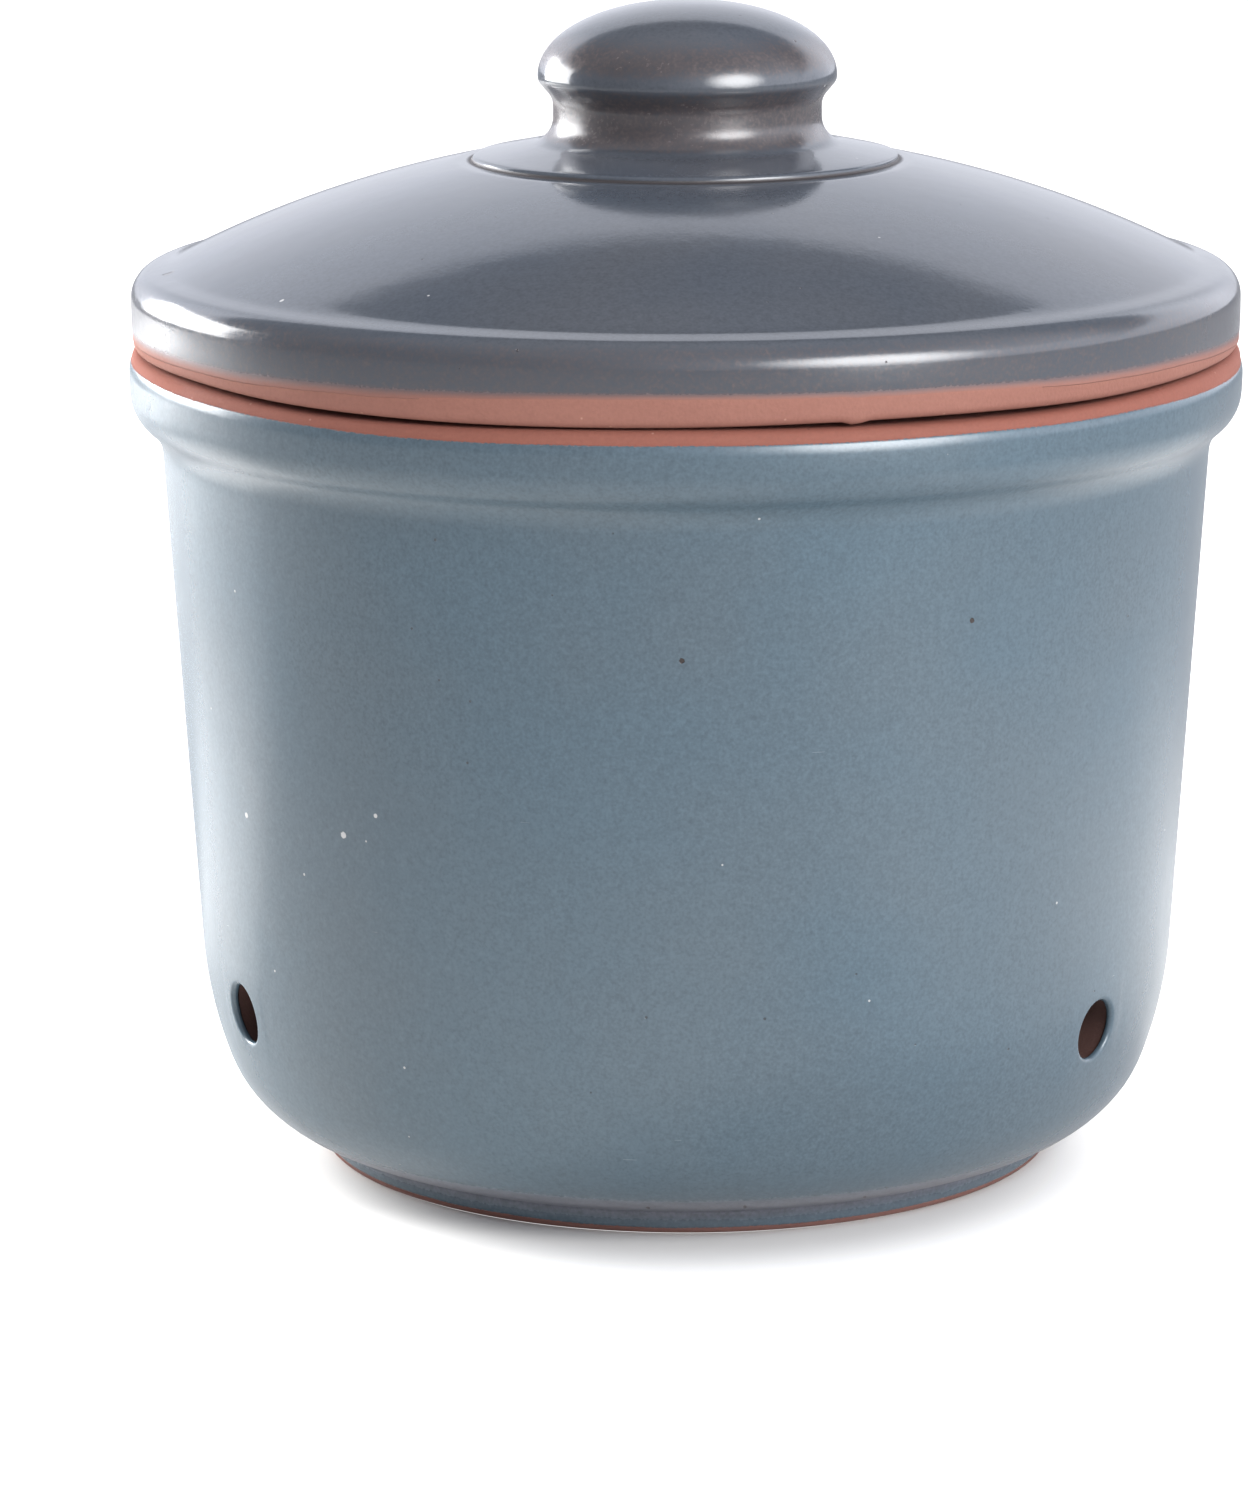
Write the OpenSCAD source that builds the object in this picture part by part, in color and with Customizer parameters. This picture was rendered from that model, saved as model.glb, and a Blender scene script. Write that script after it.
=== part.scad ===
// Garlic keeper: a ventilated earthenware pot with a domed, lift-off lid.
// Millimetres. +Z is up, and the origin is at the centre of the foot, on the table.
// Pot and lid are turned shapes: each is an outline of corners [radius, height, fillet] carried
// round the Z axis. The glaze is a thin coat between an outline and the clay just inside it.

/* [Pot] */
// Height of the pot, from the table to its rim
pot_h = 100; // [85:1:130]
// Thickness of the wall
wall_t = 5.5; // [4:0.25:8]
// Thickness of the floor, above the hollow of the foot
floor_t = 6.5; // [4:0.25:10]
// Fillet between the floor and the wall, inside
floor_fillet = 14; // [6:1:20]
// Radius of the wall where the belly ends
belly_r = 60; // [58:0.25:62]
// Height at which the wall begins
belly_h = 19.8; // [17:0.2:24]
// Large fillet from the belly into the wall
belly_fillet = 50; // [20:1:60]
// Radius of the corner at the bottom of the belly
heel_r = 55.2; // [53:0.2:57]
// Height of that corner above the table
heel_h = 5.9; // [5:0.1:7.5]
// Fillet of that corner
heel_fillet = 14; // [6:0.5:18]

/* [Foot] */
// Outer radius of the ring that the pot stands on
foot_r = 46.1; // [40:0.1:49]
// Width of the ring
foot_w = 6; // [4:0.25:10]
// Height of the ring's outer side
foot_h = 3.4; // [2.6:0.1:4.4]
// Depth of the hollow inside the ring
foot_hollow = 2.5; // [1:0.1:4]
// Small rounding of the ring's edges
foot_ease = 0.8; // [0.5:0.1:1.1]

/* [Rim] */
// How far the rim stands out beyond the side of the lid
rim_proud = 0.4; // [0:0.1:1.5]
// How far the rim stands out beyond the top of the wall
rim_overhang = 3.7; // [2:0.1:5]
// Height of the rim's upright band
rim_h = 7.6; // [6:0.1:10]
// Drop of the slanted underside of the rim
rim_slant = 2.9; // [2:0.1:4]
// Fillet of the cove under the rim
cove_fillet = 4.6; // [2:0.1:6]
// Fillet of the rim's lower edge
rim_fillet = 5; // [2:0.1:6]
// Small rounding of the rim's top edges
rim_ease = 1.2; // [0.8:0.1:2]

/* [Vents] */
// Number of holes round the wall
vent_count = 3; // [2:1:6]
// Diameter of each hole
vent_d = 7.6; // [5:0.2:10]
// Height of the holes' centres above the table
vent_h = 22.5; // [20:0.5:35]
// Direction of the first hole, in degrees from +X
vent_turn = 90; // [0:5:360]
// Width of the eased edge round each hole
vent_ease = 0.7; // [0.4:0.1:1.2]

/* [Lid] */
// Outer radius of the lid, which the rim of the pot follows
lid_r = 67.6; // [66:0.1:69]
// Height of the lid's side, from the rim up to the corner of its shoulder
lid_side_h = 9; // [7:0.25:12]
// Fillet of the shoulder
shoulder_fillet = 3.4; // [1.5:0.1:4.5]
// Width of the gently sloping ledge between the shoulder and the dome
ledge_w = 4.4; // [3:0.1:6]
// Rise of the ledge across that width
ledge_rise = 0.9; // [0.3:0.1:1.3]
// Fillet in the crease between the ledge and the dome
crease_fillet = 12; // [2:0.5:14]
// Radius of the sphere that the dome is cut from
dome_r = 140; // [110:1:180]
// Thickness of the dome
lid_t = 5.5; // [4:0.25:7]
// Small rounding of the lid's lower edge
lid_ease = 1.2; // [0.8:0.1:2]

/* [Flange] */
// Depth of the flange that hangs inside the mouth of the pot
flange_h = 6; // [4:0.5:10]
// Thickness of the flange
flange_t = 4.5; // [3:0.25:6]
// Play between the flange and the mouth, all round
flange_play = 1.2; // [0.8:0.1:2]
// Fillet between the flange and the underside of the dome
flange_fillet = 5; // [2:0.5:7]
// Small rounding of the flange's edges
flange_ease = 0.8; // [0.4:0.1:1.2]

/* [Knob] */
// Radius of the round pad at the knob's base
pad_r = 25.9; // [23:0.1:29]
// Height of the pad's sharp edge above the dome
pad_edge = 0.8; // [0.6:0.1:1.4]
// Rise of the pad from its edge to the foot of the neck
pad_rise = 2.1; // [1:0.1:3]
// Radius of the knob's neck
waist_r = 16.35; // [13:0.1:17]
// Height of the neck
waist_h = 4.5; // [3.5:0.1:8]
// Fillets at the foot and the head of the neck
neck_fillet = 2.4; // [1:0.1:3]
// Radius of the knob's cap
cap_r = 18.1; // [17.6:0.1:21]
// Height of the slanted underside of the cap
cap_flare = 2.3; // [1.5:0.1:3.5]
// Height of the cap's upright side
cap_side = 1.1; // [0.8:0.1:2]
// Fillet of the cap's lower edge
cap_fillet = 1.5; // [0.5:0.1:2]
// Height of the cap's rounded top
cap_top = 8.1; // [5:0.1:12]

/* [Glaze] */
// Thickness of the glaze
glaze_t = 0.4; // [0.3:0.05:0.5]
// Bare strip of clay left at the bottom of the foot
bare_foot = 1; // [0.8:0.1:1.5]
// Bare band of clay left at the top of the rim
bare_rim = 1.9; // [1.2:0.1:3]
// Bare band of clay left at the bottom of the lid
bare_lid = 3; // [2:0.1:4.5]

/* [Hidden] */
$fn = 96;
// Largest turn between two points of a fillet, in degrees
arc_step = 8;
// Number of chords that the dome and the cap's top are drawn with
dome_steps = 9;
cap_steps = 12;
// How far a cutting shape runs past what it cuts
past = 1;

// Heights and radii of the pot. The lid sets the rim's radius, and the wall meets the cove at neck_r.
rim_low_h = pot_h - rim_h;
neck_h = rim_low_h - rim_slant;
rim_r = lid_r + rim_proud;
neck_r = rim_r - rim_overhang;
floor_h = foot_hollow + floor_t;
foot_in_r = foot_r - foot_w;
mouth_r = inner_wall_r(pot_h);

// Heights and radii of the lid and its flange
shoulder_h = pot_h + lid_side_h;
crease_r = lid_r - ledge_w;
crease_h = shoulder_h + ledge_rise;
dome_centre_h = crease_h - sqrt(dome_r ^ 2 - crease_r ^ 2);
flange_low_h = pot_h - flange_h;
flange_r = inner_wall_r(flange_low_h) - flange_play;
flange_in_r = flange_r - flange_t;

// Heights of the knob
pad_h = dome_centre_h + sqrt(dome_r ^ 2 - pad_r ^ 2) + pad_edge;
waist_low_h = pad_h + pad_rise;
waist_top_h = waist_low_h + waist_h;
cap_low_h = waist_top_h + cap_flare;
cap_mid_h = cap_low_h + cap_side;
keeper_h = cap_mid_h + cap_top;

// Radius at height h of the wall's straight part, outside and inside
function wall_r(h) = belly_r + (h - belly_h) * (neck_r - belly_r) / (neck_h - belly_h);
function inner_wall_r(h) = wall_r(h) - wall_t;

// Plain corners along the dome, or along a sphere inside it, from one radius to another
function dome_corners(sphere_r, from_r, to_r) = [
    for (i = [0 : dome_steps])
        let (from = asin(from_r / sphere_r), to = asin(to_r / sphere_r))
            let (a = from + (to - from) * i / dome_steps)
                [sphere_r * sin(a), dome_centre_h + sphere_r * cos(a), 0]
];

// Corner i as a point, the way to it from the corner before, and the outline's turn there.
// A turn to the left is positive and makes an outer corner, because the clay lies on the left.
function point(c, i) = [c[i][0], c[i][1]];
function way(c, i) = let (v = point(c, i) - point(c, i - 1)) v / norm(v);
function left_of(v) = [-v[1], v[0]];
function turn(c, i) =
    i < 1 || i > len(c) - 2
        ? 0
        : let (u = way(c, i), v = way(c, i + 1)) atan2(u[0] * v[1] - u[1] * v[0], u * v);

// An outline moved into the clay by t. A fillet keeps its centre, so its radius changes by t.
function inset(c, t) = [
    for (i = [0 : len(c) - 1])
        let (
            before = left_of(way(c, max(i, 1))),
            after = left_of(way(c, min(i + 1, len(c) - 1))),
            p = point(c, i) + t * (before + after) / (1 + before * after),
            fillet = c[i][2] == 0 ? 0 : max(c[i][2] - t * sign(turn(c, i)), 0)
        )
            [max(p[0], 0), p[1], fillet]
];

// Length that the fillet of corner i takes from each of its edges
function tangent(c, i) = c[i][2] * tan(abs(turn(c, i)) / 2);
// Share of its two fillets that the edge after corner i has room for
function room(c, i) =
    let (need = tangent(c, i) + tangent(c, i + 1), edge = norm(point(c, i + 1) - point(c, i)))
        need > 0.98 * edge ? 0.98 * edge / need : 1;

// The points of corner i: one for a sharp corner, an arc for a fillet
function corner_points(c, i) =
    let (
        r = c[i][2] * min(room(c, i - 1), room(c, i)),
        angle = turn(c, i),
        start = point(c, i) - way(c, i) * r * tan(abs(angle) / 2),
        centre = start + sign(angle) * r * left_of(way(c, i)),
        from = atan2(start[1] - centre[1], start[0] - centre[0]),
        steps = max(1, ceil(abs(angle) / arc_step))
    )
        r < 0.01
            ? [point(c, i)]
            : [for (k = [0 : steps]) centre + r * [cos(from + angle * k / steps), sin(from + angle * k / steps)]];
function rounded(c) = [
    point(c, 0),
    for (i = [1 : len(c) - 2]) each corner_points(c, i),
    point(c, len(c) - 1)
];

// Outside of the pot, from under the foot up to the flat top of the rim
pot_outline = [
    [foot_r - foot_w / 2, 0, 0],
    [foot_r, 0, foot_ease],
    [foot_r, foot_h, foot_ease],
    [heel_r, heel_h, heel_fillet],
    [belly_r, belly_h, belly_fillet],
    [neck_r, neck_h, cove_fillet],
    [rim_r, rim_low_h, rim_fillet],
    [rim_r, pot_h, rim_ease],
    [mouth_r, pot_h, 0]
];

// Outside of the lid: under the flange, across the seat, over the dome and the knob to its top
dome = dome_corners(dome_r, crease_r, pad_r);
lid_corners = [
    [flange_in_r, flange_low_h, 0],
    [flange_r, flange_low_h, flange_ease],
    [flange_r, pot_h, flange_ease],
    [lid_r, pot_h, lid_ease],
    [lid_r, shoulder_h, shoulder_fillet],
    [crease_r, crease_h, crease_fillet],
    for (i = [1 : dome_steps]) dome[i]
];
lid_outline = [
    each lid_corners,
    [pad_r, pad_h, pad_edge / 2],
    [waist_r, waist_low_h, neck_fillet],
    [waist_r, waist_top_h, neck_fillet],
    [cap_r, cap_low_h, cap_fillet],
    for (i = [0 : cap_steps])
        let (a = 90 * i / cap_steps)
            [cap_r * cos(a), cap_mid_h + cap_top * sin(a), 0]
];

// The clay's own outlines, and the height at which the knob is joined to the lid
pot_clay = inset(pot_outline, glaze_t);
lid_clay = inset(lid_outline, glaze_t);
joint_h = lid_clay[len(lid_corners) - 1][1];

// A flat half-section, from the axis out to an outline
module section(outline) polygon([
    [0, outline[0][1]],
    each rounded(outline),
    [0, outline[len(outline) - 1][1]]
]);

// The part of a half-section between two heights
module between(low, high) intersection() {
    children();
    translate([0, low]) square([rim_r + past, high - low]);
}

// The glaze between an outline and its clay, between two heights
module coat(outline, clay, low, high) between(low, high) difference() {
    section(outline);
    section(clay);
}
module pot_coat() coat(pot_outline, pot_clay, bare_foot, pot_h - bare_rim);
module lid_coat() coat(lid_outline, lid_clay, pot_h + bare_lid, keeper_h + past);

// The inside of the pot, with the eased inner edge of its mouth
module pot_hollow() polygon([
    each rounded([
        [0, floor_h, 0],
        [inner_wall_r(floor_h), floor_h, floor_fillet],
        [mouth_r, pot_h, rim_ease],
        [mouth_r + 2 * rim_ease, pot_h, 0]
    ]),
    [mouth_r + 2 * rim_ease, pot_h + past],
    [0, pot_h + past]
]);

// The shallow hollow inside the foot's ring
module foot_recess() polygon([
    each rounded([
        [0, foot_hollow, 0],
        [foot_in_r - foot_hollow, foot_hollow, foot_hollow],
        [foot_in_r, 0, foot_ease],
        [foot_in_r + 2 * foot_ease, 0, 0]
    ]),
    [foot_in_r + 2 * foot_ease, -past],
    [0, -past]
]);

// The space under the dome and inside the flange
module lid_hollow() {
    under = dome_corners(dome_r - lid_t, 0, flange_in_r);
    root = under[dome_steps];
    polygon([
        each rounded([
            for (i = [0 : dome_steps - 1]) under[i],
            [root[0], root[1], flange_fillet],
            [flange_in_r, flange_low_h, flange_ease],
            [flange_in_r + 2 * flange_ease, flange_low_h, 0]
        ]),
        [flange_in_r + 2 * flange_ease, flange_low_h - past],
        [0, flange_low_h - past]
    ]);
}

// The holes round the wall, each a little wider where it meets the outside
module vents() for (i = [0 : vent_count - 1])
    rotate([0, 0, vent_turn + 360 * i / vent_count]) translate([0, 0, vent_h]) rotate([0, 90, 0]) {
        cylinder(d = vent_d, h = rim_r);
        translate([0, 0, wall_r(vent_h) - 2 * vent_ease])
            cylinder(d1 = vent_d, d2 = vent_d + 4 * vent_ease, h = 4 * vent_ease);
    }

// Earthenware pot: foot, floor, wall and rim, bare inside, under the foot and on its rim
module pot_body() color("#b97c68") difference() {
    rotate_extrude() difference() {
        section(pot_outline);
        pot_coat();
        pot_hollow();
        foot_recess();
    }
    vents();
}

// Blue-grey glaze on the outside of the pot
module pot_glaze() color("#6b7f88") difference() {
    rotate_extrude() pot_coat();
    vents();
}

// Earthenware lid: dome, shoulder, flat seat and the flange that centres it in the mouth
module lid_body() color("#b97c68") rotate_extrude() difference() {
    between(flange_low_h, joint_h) section(lid_outline);
    lid_coat();
    lid_hollow();
}

// Earthenware knob with its pad, joined to the flat at the top of the dome
module lid_knob() color("#b97c68") rotate_extrude() between(joint_h, keeper_h) section(lid_clay);

// Slate-grey glaze over the outside of the lid and the knob
module lid_glaze() color("#5c6066") rotate_extrude() lid_coat();

pot_body();
pot_glaze();
lid_body();
lid_knob();
lid_glaze();
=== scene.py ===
"""Looks of a glazed earthenware garlic keeper: a ventilated pot and its domed, lift-off lid.

Every piece is a turned surface: a half-section of corners (radius, height, fillet), in millimetres,
carried round the Z axis. The clay and the glaze of each part share one outline, at different depths.
The studio is set out from the camera, which looks along +Y turned by STUDIO_TURN.
"""
import math

import bpy
import numpy as np
from mathutils import Matrix, Vector


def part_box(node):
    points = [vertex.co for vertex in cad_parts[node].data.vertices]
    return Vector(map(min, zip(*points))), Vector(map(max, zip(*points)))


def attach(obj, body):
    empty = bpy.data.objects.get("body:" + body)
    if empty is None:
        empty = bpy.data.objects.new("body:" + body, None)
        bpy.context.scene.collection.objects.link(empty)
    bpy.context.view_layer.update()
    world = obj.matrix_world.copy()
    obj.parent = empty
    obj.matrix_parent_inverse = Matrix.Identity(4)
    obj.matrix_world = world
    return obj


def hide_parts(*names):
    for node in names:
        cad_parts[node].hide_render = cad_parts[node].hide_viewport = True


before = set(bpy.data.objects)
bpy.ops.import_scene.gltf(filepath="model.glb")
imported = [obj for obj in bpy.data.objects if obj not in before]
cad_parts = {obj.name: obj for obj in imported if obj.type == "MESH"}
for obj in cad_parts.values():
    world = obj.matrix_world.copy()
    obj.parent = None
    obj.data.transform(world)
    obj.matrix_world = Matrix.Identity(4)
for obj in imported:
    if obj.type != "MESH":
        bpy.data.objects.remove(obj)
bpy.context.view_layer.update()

MM = 0.001

# ---- sizes, in millimetres
RIM_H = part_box("pot_body")[1].z / MM
RIM_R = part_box("pot_body")[1].x / MM
LID_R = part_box("lid_glaze")[1].x / MM
FLANGE_LOW_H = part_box("lid_body")[0].z / MM
JOINT_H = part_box("lid_knob")[0].z / MM
KEEPER_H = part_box("lid_glaze")[1].z / MM
POT_GLAZE_LOW_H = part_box("pot_glaze")[0].z / MM
POT_GLAZE_TOP_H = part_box("pot_glaze")[1].z / MM
LID_GLAZE_LOW_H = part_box("lid_glaze")[0].z / MM

WALL_T = 5.5
FLOOR_H = 9.0
FLOOR_FILLET = 14.0
BELLY_R = 60.0
BELLY_H = 19.8
BELLY_FILLET = 50.0
HEEL_R = 55.2
HEEL_H = 5.5
HEEL_FILLET = 14.0
FOOT_R = 46.1
FOOT_W = 6.0
FOOT_H = 3.0
FOOT_HOLLOW = 2.5
FOOT_EASE = 0.8
NECK_R = RIM_R - 3.7
RIM_LOW_H = RIM_H - 7.6
NECK_H = RIM_LOW_H - 2.9
COVE_FILLET = 4.6
RIM_FILLET = 5.0
RIM_EASE = 1.2

VENT_TURNS = (90.0, 210.9, 329.5)
VENT_R = 3.6
VENT_H = 21.9
VENT_LIP = 0.35
BORE_R = VENT_R + 0.25
INNER_LIP = 0.6
HALF_WINDOW = 6

SHOULDER_H = RIM_H + 9.0
SHOULDER_FILLET = 3.3
CREASE_R = LID_R - 4.6
CREASE_H = SHOULDER_H + 1.0
CREASE_FILLET = 6.5
DOME_R = 140.0
DOME_CENTRE_H = CREASE_H - math.sqrt(DOME_R**2 - CREASE_R**2)
LID_T = 5.5
LID_EASE = 1.2
FLANGE_T = 4.5
FLANGE_PLAY = 1.2
FLANGE_FILLET = 5.0
FLANGE_EASE = 0.8

PAD_R = 25.9
PAD_EDGE = 0.35
PAD_H = DOME_CENTRE_H + math.sqrt(DOME_R**2 - PAD_R**2) + PAD_EDGE
PAD_FILLET = 0.3
PAD_GROOVE = 0.3
PAD_GROOVE_W = 2.0
WAIST_R = 16.35
WAIST_LOW_H = PAD_H + 1.9
WAIST_TOP_H = WAIST_LOW_H + 4.9
WAIST_LOW_FILLET = 3.2
WAIST_TOP_FILLET = 2.4
CAP_R = 18.2
CAP_LOW_H = WAIST_TOP_H + 2.15
CAP_MID_H = CAP_LOW_H + 0.5
CAP_FILLET = 1.2
CAP_POWER = 2.05
KNOB_SHIFT = 0.33

GLAZE_DEPTH = 0.4
BARE_DEPTH = 0.3
LID_BARE_DEPTH = 0.12
CLAY_PLAY = 0.05
CLAY_STEP_W = 0.6
BEAD_W = 1.3
BEAD_RISE = 0.07
POT_FACE_DEPTH = 0.07
POT_INNER_DEPTH = GLAZE_DEPTH + 0.11
LID_FACE_DEPTH = 0.02
SEAT_CLEARANCE = 0.03

# Heights of the pale band round the pot's foot: thinner glaze, and also a painted reflection of the
# floor.
FOOT_THIN_AND_SHEEN_TOP = (7.4, 5.6)
FOOT_THIN_AND_SHEEN_LOW = (1.2, 3.6)
TOP_EDGE_FADE = 2.5
LOW_EDGE_FADE = 0.8
LID_EDGE_FADE = 2.2

COLUMNS = 384
SAMPLE = 0.05
CLAY_SPACING = (2.5, 0.12)
LID_SPACING = (2.0, 0.12)


# ---- curves and outlines
def step(x, low, high):
    """Smooth step of x: 0 at low, 1 at high and 3t^2 - 2t^3 at a share t of the way between. It falls
    if low is the higher."""
    t = np.clip((x - low) / (high - low), 0, 1)
    return t * t * (3 - 2 * t)


def join(*parts):
    """Arrays end to end along their first axis."""
    return np.concatenate(parts)


def hump(x, middle, width):
    """A bell curve of x: 1 at its middle and 1/e at width from there."""
    return np.exp(-(((x - middle) / width) ** 2))


def fading(distance, reach):
    """1 at a distance of 0 or less, and 1/e at each further reach."""
    return np.exp(-np.clip(distance, 0, None) / reach)


def unit(v):
    """v at length one."""
    return v / np.hypot(*v)


def fillet_points(before, corner, after):
    """Points of one corner. A fillet of radius f is the arc that touches both edges: it starts
    f * tan(turn / 2) before the corner and turns through the angle between the edges."""
    place, fillet = np.array(corner[:2]), corner[2]
    if fillet == 0:
        return place[None]
    way_in, way_out = unit(place - np.array(before[:2])), unit(np.array(after[:2]) - place)
    turn = math.atan2(way_in[0] * way_out[1] - way_in[1] * way_out[0], way_in @ way_out)
    side = math.copysign(1, turn) * np.array([-way_in[1], way_in[0]])
    centre = place - way_in * fillet * math.tan(abs(turn) / 2) + side * fillet
    angles = math.atan2(-side[1], -side[0]) + turn * np.linspace(0, 1, 40)
    return centre + fillet * np.stack([np.cos(angles), np.sin(angles)], axis=1)


class Outline:
    """A half-section as one smooth curve, with the clay on the left of its direction of travel.

    The corners are joined by straight edges and fillets and sampled at even distances s along the
    curve. Each sample is then the mean of its neighbours under a bell curve `soft` mm wide, so that
    the curvature changes gradually, as it does in glaze. `out` is the unit vector away from the clay,
    (dz/ds, -dr/ds), and `bend` is the curvature, positive on a convex edge."""

    def __init__(self, corners, soft):
        middle = [fillet_points(*three) for three in zip(corners, corners[1:], corners[2:])]
        raw = join([corners[0][:2]], *middle, [corners[-1][:2]])
        run = join([0], np.cumsum(np.hypot(*np.diff(raw, axis=0).T)))
        self.s = np.linspace(0, run[-1], int(run[-1] / SAMPLE) + 1)
        even = np.stack([np.interp(self.s, run, raw[:, k]) for k in (0, 1)], axis=1)
        reach = int(3 * soft / SAMPLE)
        bell = np.exp(-0.5 * (np.arange(-reach, reach + 1) * SAMPLE / soft) ** 2)
        first = 2 * even[0] - even[reach:0:-1]
        last = 2 * even[-1] - even[-2 : -reach - 2 : -1]
        padded = join(first, even, last)
        self.r, self.z = (np.convolve(padded[:, k], bell / bell.sum(), "valid") for k in (0, 1))
        dr, dz = np.gradient(self.r, self.s), np.gradient(self.z, self.s)
        length = np.hypot(dr, dz)
        self.out = np.stack([dz, -dr], axis=1) / length[:, None]
        self.bend = np.gradient(np.unwrap(np.arctan2(dz, dr)), self.s)

    def at(self, s, values):
        """The sampled values, such as self.r, at distances s."""
        return np.interp(s, self.s, values)

    def upright(self, s):
        """1 where the surface faces away from the axis, and 0 where it faces up, down or inward."""
        return np.clip(self.at(s, self.out[:, 0]), 0, 1)

    def place(self, s, lift):
        """Radius and height at distances s, moved by lift along the outward vector there."""
        out_r, out_z = self.at(s, self.out[:, 0]), self.at(s, self.out[:, 1])
        return self.at(s, self.r) + lift * out_r, self.at(s, self.z) + lift * out_z

    def s_at_height(self, height, low_s=0.0, high_s=math.inf):
        """The distance along the curve, between low_s and high_s, at which it is nearest to a height."""
        part = np.where((self.s >= low_s) & (self.s <= high_s), np.abs(self.z - height), np.inf)
        return self.s[np.argmin(part)]

    def rows(self, start, end, longest, turn=0.09):
        """Distances from start to end, no more than `longest` mm or `turn` radians apart."""
        inside = (self.s >= start) & (self.s <= end)
        s, bend = self.s[inside], np.abs(self.bend[inside])
        need = np.cumsum(np.maximum(1 / longest, bend / turn)) * SAMPLE
        count = max(2, int(math.ceil(need[-1] - need[0])) + 1)
        found = np.interp(np.linspace(need[0], need[-1], count), need, s)
        found[0], found[-1] = start, end
        return found


# ---- the hand in it
THETA = np.linspace(0, 2 * math.pi, COLUMNS, endpoint=False)
HAND = 0.0009
HAND_WAVES = (0.5, 2, 0.9, 0.012), (0.3, 3, 2.3, -0.020), (0.2, 5, 4.1, 0.015)
FRONT_TURN = 274.5


def hand(theta, z):
    """Radius factor of a wall that was turned and fired, never quite round: one, less HAND, plus HAND
    times a sum of cosines. A wave is (weight, times round, phase, drift of its phase per mm)."""
    waves = (part * np.cos(n * theta + phase + drift * z) for part, n, phase, drift in HAND_WAVES)
    return 1 - HAND + HAND * sum(waves)


def ragged(seed, reach):
    """One value per column, -1 to 1: seeded noise smoothed round the circle over `reach` columns."""
    noise = np.random.default_rng(seed).normal(size=COLUMNS)
    turns = np.fft.rfftfreq(COLUMNS) * reach
    smooth = np.fft.irfft(np.fft.rfft(noise) * np.exp(-0.5 * (turns * 2 * math.pi) ** 2), COLUMNS)
    return smooth / np.abs(smooth).max()


def warp(rises, soft=3.0):
    """One rise per column of THETA, in mm: straight lines through (azimuth, rise) pairs, closed round
    the circle, each column then the mean of its neighbours under a bell curve `soft` degrees wide."""
    azimuths, values = np.array(rises).T
    shifts = np.linspace(-3, 3, 25) * soft
    weights = np.exp(-0.5 * (shifts / soft) ** 2)
    where = np.degrees(THETA) - FRONT_TURN
    spread = [np.interp(where + shift, azimuths, values, period=360) for shift in shifts]
    return weights @ np.array(spread) / weights.sum()


def turned(radius, height, shift=0.0):
    """Points (x, y, z) of a grid of radii and heights, one column per angle of THETA, moved by shift
    mm to the right as the camera sees it."""
    radius = radius * hand(THETA, height)
    right = math.radians(FRONT_TURN + 90)
    x = radius * np.cos(THETA) + shift * math.cos(right)
    y = radius * np.sin(THETA) + shift * math.sin(right)
    return np.stack([x, y, height], axis=-1)


# Rises of the edges, in mm, by azimuth in degrees: 0 toward the camera and 90 to its right.
RIM_RISE = warp(
    [(-75, 0), (-67, 0), (-60, -0.05), (-52, -0.32), (-45, -0.65), (-38, -0.82), (-30, -0.75)]
    + [(-22, -0.67), (-10, -0.38), (0, -0.27), (8, -0.35), (15, -0.45), (25, -0.5), (33, -0.55)]
    + [(40, -0.6), (48, -0.47), (56, -0.22), (64, -0.05), (70, 0)]
)
SEAT_RISE = warp(
    [(-85, 0), (-75, 0.1), (-67, 0.2), (-60, 0.25), (-52, 0.05), (-45, -0.17), (-38, -0.24)]
    + [(-30, -0.3), (-22, -0.33), (-10, -0.22), (0, -0.12), (8, 0.03), (15, 0.15), (25, 0.2)]
    + [(33, 0.12), (40, -0.02), (48, -0.05), (56, 0.1), (64, 0.15), (70, 0.15), (80, 0)]
)
CRUMB = warp([(15.5, 0), (16.5, -0.6), (17.5, 0)], soft=0.4)
LID_EDGE_RISE = warp(
    [(-140, -1.0), (-79, -1.6), (-67, -1.5), (-50, -1.35), (-41, -1.05), (-31, -0.9), (-26, -0.65)]
    + [(-22, -0.38), (-12, -0.05), (-3, 0.15), (8, 0.0), (18, -0.25), (32, -0.5), (37, -0.75)]
    + [(46, -0.93), (58, -1.1), (66, -1.4), (79, -2.0), (140, -1.0)]
)
POT_EDGE_RISE = warp(
    [(-120, 0.4), (-75, 0.73), (-60, 0.55), (-40, 0.74), (-31, 0.43), (-10, 0.32), (0, 0.3)]
    + [(10, 0.45), (20, 0.67), (30, 0.73), (40, 0.65), (50, 0.5), (60, 0.12), (72, 0.02), (120, 0.3)]
)


# ---- meshes
def weave(index, keep=None):
    """Faces between neighbouring rows of a grid of vertex numbers that closes round its columns."""
    right = np.roll(index, -1, axis=1)
    faces = np.stack([index[:-1], right[:-1], right[1:], index[1:]], axis=-1)
    return faces[keep] if keep is not None else faces.reshape(-1, 4)


def numbered(grid, poles=True):
    """The points of a grid as a list, and a grid of their vertex numbers. With poles, its first row
    and its last are one vertex each."""
    points = grid.reshape(-1, 3)
    index = np.arange(len(points)).reshape(grid.shape[:2])
    if poles:
        index[0], index[-1] = index[0, 0], index[-1, 0]
    return points, index


def add_object(name, data):
    """A new object in the scene."""
    made = bpy.data.objects.new(name, data)
    bpy.context.scene.collection.objects.link(made)
    return made


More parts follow.
